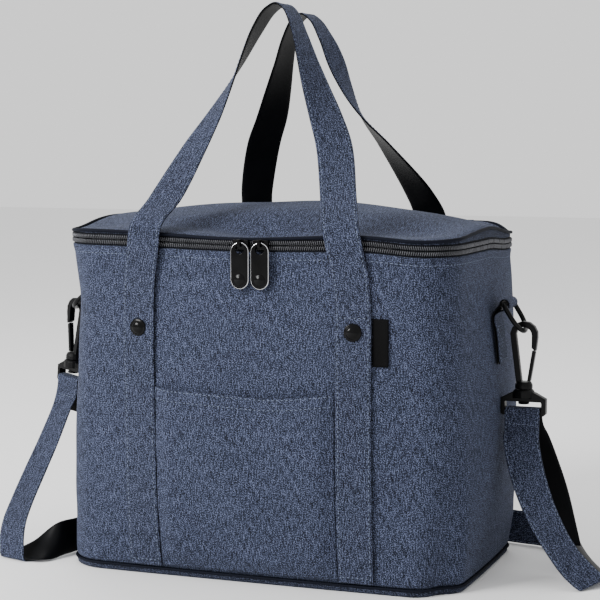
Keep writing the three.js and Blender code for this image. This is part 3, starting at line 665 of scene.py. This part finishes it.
def teeth(name, z, tilt, body, node):
    """One row of the coil: close-set rounded turns that lean along the tape."""
    line = outline(z, 1.25)[ROUND]
    out = unit(outline(z, 6)[ROUND] - line)
    run = distances(line)
    starts = np.arange(1, run[-1] - 1, 1.9)
    c = sample(starts, run, line)
    n = unit(sample(starts, run, out))
    along = unit(np.cross([0, 0, 1.0], n))
    up = unit(np.array([0, 0, 1.0]) + tilt * along)
    side = np.cross(up, n)
    section = [(0.5, 0), (0.34, 0.62), (0, 0.85), (-0.34, 0.62), (-0.5, 0), (0, -0.6)]
    points, faces = [], []
    levels = [(-1.95, 0.3), (-1.5, 0.85), (0, 1.0), (1.5, 0.85), (1.95, 0.3)]
    turns, _ = grid_faces(len(levels), len(section), True)
    for p, u, s, m in zip(c, up, side, n):
        k = len(points)
        for h, w in levels:
            points += [p + u * h + s * a * w + m * b * w for a, b in section]
        faces += (turns + k).tolist()
        faces += [tuple(k + i for i in range(6))[::-1], tuple(k + 24 + i for i in range(6))]
    obj = make(name, points, faces, None, coil, body)
    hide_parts(node)


band("zip_tape_low", [296.5, 298, 299.5, 301.5, 302.7, 302.8], [-0.4, 0.2, 0.35, 0.35, 0.3, -0.6],
     "bag", "zipper_tape_lower")
band("zip_tape_high", [303.2, 303.3, 304.5, 306.5, 308, 309.5], [-0.6, 0.3, 0.35, 0.35, 0.2, -0.3],
     "lid", "zipper_tape_upper")
teeth("zip_coil_low", 300.75, 0.3, "bag", "zipper_chain_lower")
teeth("zip_coil_high", 305.25, -0.3, "lid", "zipper_chain_upper")


# ------------------------------------------------------------------ lid
LID_WIDE, LID_DEEP = 184, 124  # half the lid each way
LID_Z = 303  # where the lid meets the body


def vault(x, y):
    """Height of the lid's smooth arch, from back to front and higher in its middle."""
    crown = 6.5 + 14.5 * (1 - np.abs(x / LID_WIDE) ** 2.4)
    return 310.5 + np.cos(math.pi / 2 * np.minimum(1, np.abs(y) / LID_DEEP)) ** 1.7 * crown


def lid_wave(x, y):
    """Folds of the soft lid: a valley across mid front, a ridge behind it and slack to the sides."""
    valley = -7.0 * np.exp(-((y + 96 + 0.05 * x) / 17) ** 2) * np.exp(-((x - 12) / 70) ** 2)
    ridge = 3.0 * np.exp(-((y + 58 - 0.1 * x) / 20) ** 2) * np.exp(-((x - 5) / 95) ** 2)
    slack = 1.5 * np.sin(x / 43 + 0.9) * np.cos(y / 37 + 0.4) + 0.6 * np.sin(x / 19 - y / 29)
    corner = -3.0 * np.exp(-((np.abs(x) - 150) / 24) ** 2) * np.exp(-((y + 88) / 24) ** 2)
    return valley + ridge + slack + corner


def lid_edge(x, y):
    """Height of the piped edge: it dips at the corners and rises along each side."""
    left = 3.6 * ease((-150 - x) / 25) * np.exp(-((y + 78) / 38) ** 2)
    front = 2.4 * np.exp(-((x + 5) / 75) ** 2) * ease((-90 - y) / 20)
    return vault(x, y) - droop(x, y) - left - front


rim = outline(LID_Z, -0.3, False)
rim_x, rim_y = rim[:, 0], rim[:, 1]
offset_z = lid_edge(rim_x, rim_y) - vault(rim_x, rim_y)
top_rings, top_uv = [], []
for s in np.concatenate([[0.004], np.linspace(0.05, 0.93, 38), [0.95, 0.965, 0.98, 0.99, 1.0]]):
    x, y = rim_x * s, rim_y * s
    roll = 2.0 * np.clip((s - 0.955) / 0.045, 0, 1) ** 2
    z = vault(x, y) + lid_wave(x, y) * ease((1 - s) / 0.16) + offset_z * s**4 + 1.2 - roll
    top_rings.append(np.column_stack([x, y, z]))
    top_uv.append(np.vstack([np.column_stack([x, y]), [[x[0], y[0]]]]) * MM)
lid_top = grid("lid_top", top_rings, denim, "lid", wrap=True, uv=top_uv, thick=1.1, flip=True)
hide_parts("lid_cover", "lid_foam")
low = 307.6 - droop(rim_x, rim_y)
gusset_rings = []
for t in np.linspace(0, 1, 9):
    ring = outline(LID_Z, 0.5 * math.sin(math.pi * t) - 0.2, False)
    ring[:, 2] = low + (lid_edge(rim_x, rim_y) - 0.3 - low) * t
    gusset_rings.append(ring)
# painted shade: the gusset takes the denim darkened to 0.6, which stands in for the shade under the
# lid's cord
gusset = grid("lid_gusset", gusset_rings, denim_painted_shade, "lid", wrap=True, thick=1.0)
line = outline(LID_Z, 1.0, False)
line[:, 2] = lid_edge(rim_x, rim_y) + 0.2
cord = tube("lid_cord", line, 1.5, binding, "lid")
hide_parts("lid_piping")
inside = []
for s in [0.002, 0.02, 0.05, 0.1, 0.17, 0.3, 0.45, 0.6, 0.75, 0.88, 0.95, 0.985]:
    x, y = rim_x * s, rim_y * s
    z = vault(x, y) - 9.4 + 0.5 * np.sin(x / 31) * np.sin(y / 27)
    inside.append(np.column_stack([x, y, z]))
for z in (305.4, 303.8):
    lip = outline(LID_Z, -1.1, False)
    lip[:, 2] = z - droop(rim_x, rim_y)
    inside.append(lip)
lid_in = grid("lid_lining", inside, foil, "lid", wrap=True, thick=0.7)
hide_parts("lid_liner")

hinge_x, hinge_z = np.meshgrid(np.linspace(-137, 137, 60), np.linspace(287, 312.5, 24))
P, _ = wall(hinge_x, hinge_z, 1, 1.0 + 0.35 * np.sin((hinge_z - 287) / 25.5 * math.pi))
hinge = grid("hinge_cloth", P, denim, thick=0.9)
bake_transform(hinge)
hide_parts("lid_hinge_strip")


# ------------------------------------------------------------------ zip sliders and pull tabs
def flat_plate(name, outlines, depth, bevel, y, material, body):
    """Plate in the XZ plane from closed outlines, the later ones holes, centred on y."""
    curve = bpy.data.curves.new(name, "CURVE")
    curve.dimensions = "2D"
    curve.fill_mode = "BOTH"
    curve.extrude = (depth / 2 - bevel) * MM
    curve.bevel_depth = bevel * MM
    curve.bevel_resolution = 3
    for loop in outlines:
        s = curve.splines.new("POLY")
        s.points.add(len(loop) - 1)
        for point, (a, b) in zip(s.points, loop):
            point.co = (a * MM, b * MM, 0, 1)
        s.use_cyclic_u = True
    temp = bpy.data.objects.new(name, curve)
    bpy.context.scene.collection.objects.link(temp)
    temp.rotation_euler = (math.pi / 2, 0, 0)
    temp.location = (0, y * MM, 0)
    bpy.context.view_layer.update()
    data = bpy.data.meshes.new_from_object(
        temp.evaluated_get(bpy.context.evaluated_depsgraph_get()))
    data.transform(temp.matrix_world)
    bpy.data.objects.remove(temp)
    data.materials.clear()
    data.materials.append(material)
    obj = bpy.data.objects.new(name, data)
    bpy.context.scene.collection.objects.link(obj)
    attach(obj, body)
    return obj


def circle(x, z, r, n=40):
    t = np.arange(n) * 2 * math.pi / n
    return np.column_stack([x + r * np.cos(t), z + r * np.sin(t)])


def upright(loop, y):
    """A closed outline in the XZ plane as places at the depth y."""
    return np.column_stack([loop[:, 0], np.full(len(loop), y), loop[:, 1]])


TAB_R = 8.25  # half the width of a pull tab, which has round ends
BOSS = [(0.01, 1.5), (2.6, 1.35), (3.6, 0.8), (4.6, 0.85), (5.0, 0.2)]
for x, hand in ((0.0, "left"), (18.5, "right")):
    body = f"pull_tab_{hand}"
    slider = refine(f"zip_slider_{hand}", f"slider_{hand}", gloss, f"slider_{hand}", 0.3, 5, 0.6)
    lo, hi = (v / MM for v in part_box(body))
    y, z_low, z_high = (lo.y + hi.y) / 2, lo.z - 0.4 + TAB_R, hi.z - 0.6 - TAB_R
    eye_z = hi.z - 6.6
    arc = np.linspace(0, math.pi, 24)
    c, s = (TAB_R - 0.5) * np.cos(arc), (TAB_R - 0.5) * np.sin(arc)
    loop = np.vstack([np.column_stack([x + c, z_high + s]), np.column_stack([x - c, z_low - s])])
    outlines = [loop, circle(x, eye_z, 4.35)]
    tab = flat_plate(f"pull_tab_plate_{hand}", outlines, 1.3, 0.25, y, gloss, body)
    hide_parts(body)
    edge = tube(f"pull_tab_rim_{hand}", upright(loop, y), 0.65, chrome, body, 10, (0, 1, 0))
    eye = tube(f"pull_tab_eye_{hand}", upright(circle(x, eye_z, 4.6), y), 0.55, gloss, body, 10,
               (0, 1, 0))
    disc = lathe(f"pull_tab_boss_{hand}", BOSS, (x, y - 0.5, z_low), (0, -1, 0), gloss, body)

# ------------------------------------------------------------------ side tabs, rings and hooks
# in degrees, how far the ring swings out and the hook tilts and turns; then the side it is on
HANG = {"left": (50, 5, 26, -1), "right": (32, 0, 0, 1)}
BAR = np.array([204.0, -4.0, 246.0])  # the middle of the right D-ring's bar
REACH = 28.3  # from the D-ring's bar to the place where the hook hangs


def turned(hand, v):
    """A hook's own direction (outwards, y, up) in the bag's frame."""
    _, tilt, turn, side = HANG[hand]
    u, y, w = v
    a, b = math.radians(side * turn), math.radians(-side * tilt)
    x, y = side * u * math.cos(a) - y * math.sin(a), side * u * math.sin(a) + y * math.cos(a)
    return np.array([x * math.cos(b) + w * math.sin(b), y, -x * math.sin(b) + w * math.cos(b)])


def on_hook(hand, v):
    """A place that is given from where the hook hangs on its ring, in the bag's frame."""
    ring, _, _, side = HANG[hand]
    h = math.radians(ring)
    x, y, z = BAR
    return turned(hand, v) + [side * (x + REACH * math.sin(h)), y, z - REACH * math.cos(h)]


def wall_x(side, z):
    """How far from the middle the left (-1) or right (1) side wall stands at height z."""
    return (outline(z, 0, False)[:, 0] * side).max()


for hand, side in (("left", -1), ("right", 1)):
    tab_z = (192.8, 205, 220, 236)
    low = [(wall_x(side, z) + 3.5, z) for z in tab_z]
    loop = [(BAR[0] + 4.3 * math.cos(math.radians(a)), BAR[2] + 4.3 * math.sin(math.radians(a)))
            for a in range(-40, 200, 20)]
    down = [(wall_x(side, z) + 1.5, z) for z in tab_z[::-1]]
    at = [[side * x, BAR[1], z] for x, z in low + loop + down]
    path = Path(at, [[0, side, 0]] * len(at), 5)
    path.out = path.out if (path.out[2, 0] * side) > 0 else -path.out
    tab = webbing(f"side_tab_webbing_{hand}", path, 30, 1.6)
    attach(tab, "bag")
    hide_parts(f"side_tab_{hand}")
    corners = np.array([[side * (wall_x(side, z) + 4.45), y, z]
                        for y, z in ((-17, 196), (9, 196), (9, 226), (-17, 226))])
    box_rows = []
    t = np.linspace(0, 1, 12)[:, None]
    for a, b in ((0, 1), (1, 2), (2, 3), (3, 0), (0, 2), (1, 3)):
        box_rows.append((corners[a] * (1 - t) + corners[b] * t, np.tile([side, 0, 0], (12, 1))))
    sewn = stitches(f"side_tab_topstitch_{hand}", box_rows)
    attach(sewn, "bag")

    hang = math.radians(HANG[hand][0])
    out_down = np.array([side * math.sin(hang), 0, -math.cos(hang)])
    flat = [(-13, 0), (-6, 0), (0, 0), (6, 0), (13, 0), (15.8, 0.5), (17.3, 2.2), (17.8, 5), (17.8, 9)]
    flat += [(17.8 * math.cos(t), 12 + 16.3 * math.sin(t)) for t in np.linspace(0, math.pi, 21)]
    flat += [(-17.8, 9), (-17.8, 5), (-17.3, 2.2), (-15.8, 0.5)]
    P = np.array([BAR * [side, 1, 1] + [0, a, 0] + out_down * b for a, b in flat])
    P = spline(np.vstack([P, P[:1]]), 3)[:-1]
    ring = tube(f"d_ring_moulded_{hand}", P, 2.2, plastic, f"d_ring_{hand}", 16,
                np.cross(out_down, [0, 1, 0]))
    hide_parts(f"d_ring_{hand}")
    for part, node, body, voxel in (("hook_moulded", "hook", f"hook_{hand}", 0.4),
                                    ("gate_moulded", "gate", f"gate_{hand}", 0.3),
                                    ("swivel_moulded", "swivel_base", "bag", 0.4)):
        obj = refine(f"{part}_{hand}", f"{node}_{hand}", plastic, body, voxel, 5, 0.5)

adjuster = refine("slide_moulded", "strap_adjuster", plastic, "bag", 0.35, 4, 0.5)


# ------------------------------------------------------------------ shoulder strap
def bar_turn(hand, behind, before):
    """Up behind the hook's bar, over it and down its front, as (place, across) pairs."""
    reach, top = 5.5, -69.5
    turn = [*behind, (reach, -79), (reach, -71), (reach - 0.4, top - 0.4), (reach - 1.4, top),
            (-reach + 1.4, top), (-reach + 0.4, top - 0.4), (-reach, -71), (-reach, -79), *before]
    across = turned(hand, (1, 0, 0)).tolist()
    return [(on_hook(hand, (0, y, w)).tolist(), across) for y, w in turn]


route = bar_turn("left", [(1, -103), (1.8, -97), (4, -88)], [(-6.5, -88)])
route += [
    ([-238.5, -16, 128], [-0.87, 0.49, 0]), ([-247, -27, 98], [-0.88, 0.46, 0.05]),
    ([-252, -47, 70], [-0.9, 0.42, 0.05]), ([-252, -72, 47], [-0.92, 0.38, 0]),
    ([-249, -92, 32], [-0.94, 0.34, 0]), ([-245, -105, 19], [-0.957, 0.29, 0]),
    ([-241.5, -111.4, 9.5], [-0.957, 0.29, 0]), ([-240.7, -112.6, 4.2], [-0.957, 0.29, 0]),
    ([-239.6, -111.9, 1.5], [-0.957, 0.29, 0]), ([-236, -109, 2.1], [-0.93, 0.36, 0.05]),
    ([-219, -102, 8.6], [-0.62, 0.7, 0.36]), ([-204, -88, 17], [-0.15, 0.25, 0.95]),
    ([-199, -62, 16.8], [0, 0, 1]), ([-197, -10, 16.8], [0, 0, 1]), ([-197, 50, 17.8], [0, 0, 1]),
    ([-188, 100, 20], [0, 0, 1]), ([-150, 130, 22], [0, 0, 1]), ([-80, 137, 22], [0, 0, 1]),
    ([-30, 140, 18.8], [0, 0.5, 0.87]), ([10, 141, 16.8], [0, 1, 0]),
    ([50, 140, 16.8], [0, 0.5, -0.87]), ([100, 133, 16.8], [0, 0, -1]),
    ([182, 116, 16.8], [0, 0, -1]), ([218, 107, 16.8], [0, 0, -1]), ([245, 88, 16.8], [0, 0, -1]),
    ([264, 50, 15.2], [0.5, 0.2, -0.84]), ([280, 6, 8.8], [0.83, 0.4, -0.38]),
    ([287.5, -23, 5.6], [0.66, 0.74, 0.15]), ([289.3, -31, 4.6], [0.62, 0.75, 0.24]),
    ([287.3, -32.5, 6.2], [0.62, 0.75, 0.24]), ([283.5, -32.5, 8.9], [0.62, 0.75, 0.24]),
    ([275, -35, 17.5], [0.66, 0.72, 0.2]), ([260, -36, 36], [0.74, 0.67, 0]),
    ([246, -34, 58], [0.8, 0.6, 0]), ([234, -29, 82], [0.87, 0.5, 0]),
    ([225, -22, 105], [0.94, 0.34, 0]), ([219.5, -15, 127], [0.98, 0.2, 0])]
route += bar_turn("right", [], [(-7, -88)])[::-1]
route += [
    (on_hook("right", (1, 8, -86)).tolist(), [1, 0, 0]), ([223.5, 8.5, 127], [1, 0, 0]),
    ([231, 14, 106], [0.99, -0.1, 0]), ([240, 17, 78], [0.99, -0.1, 0]), ([248, 15, 47], [0.98, 0, 0]),
    ([253, 13, 27], [0.97, 0.1, 0])]
path = Path([p for p, _ in route], [a for _, a in route], 8, square=False)
strap = webbing("shoulder_webbing", path, 32, 1.8)
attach(strap, "bag")
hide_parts("shoulder_strap_left", "shoulder_strap_back", "shoulder_strap_right",
            "shoulder_strap_tail")
rows = strap_rows(path, 14.2, 1.8)
FOLD_Z = 139  # the folded ends are sewn across here, below each hook
for k in np.flatnonzero(np.diff(path.at[:, 2] < FOLD_Z)):
    t = np.linspace(-14, 14, 12)[:, None]
    rows.append((path.at[k] + t * path.across[k] + 0.95 * path.out[k], np.tile(path.out[k], (12, 1))))
sewn = stitches("shoulder_topstitch", rows)
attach(sewn, "bag")

# ------------------------------------------------------------------ floor and light
pale = solid("floor_pale", (0.86, 0.86, 0.86), 0.9, 0.0, 3, 0.00001, 0.0)
floor_corners = [(x, y, -0.2) for x, y in ((-6000, -6000), (6000, -6000), (6000, 6000), (-6000, 6000))]
floor = make("floor", floor_corners, [(0, 1, 2, 3)], None, pale, smooth=False)
world = bpy.data.worlds.new("studio")
world.use_nodes = True
world.node_tree.nodes["Background"].inputs[0].default_value = (1, 1, 1, 1)
world.node_tree.nodes["Background"].inputs[1].default_value = 1.15
bpy.context.scene.world = world


def lamp(name, place, target, size, power):
    data = bpy.data.lights.new(name, "AREA")
    data.shape = "RECTANGLE"
    data.size, data.size_y = size
    data.energy = power
    obj = bpy.data.objects.new(name, data)
    obj.location = place
    obj.rotation_euler = (Vector(target) - Vector(place)).to_track_quat("-Z", "Y").to_euler()
    bpy.context.scene.collection.objects.link(obj)


lamp("key", (-1.5, -2.0, 1.3), (0, 0, 0.2), (1.0, 1.0), 105)
lamp("top", (-0.3, 0.7, 2.0), (0, 0, 0.3), (1.0, 0.8), 14)
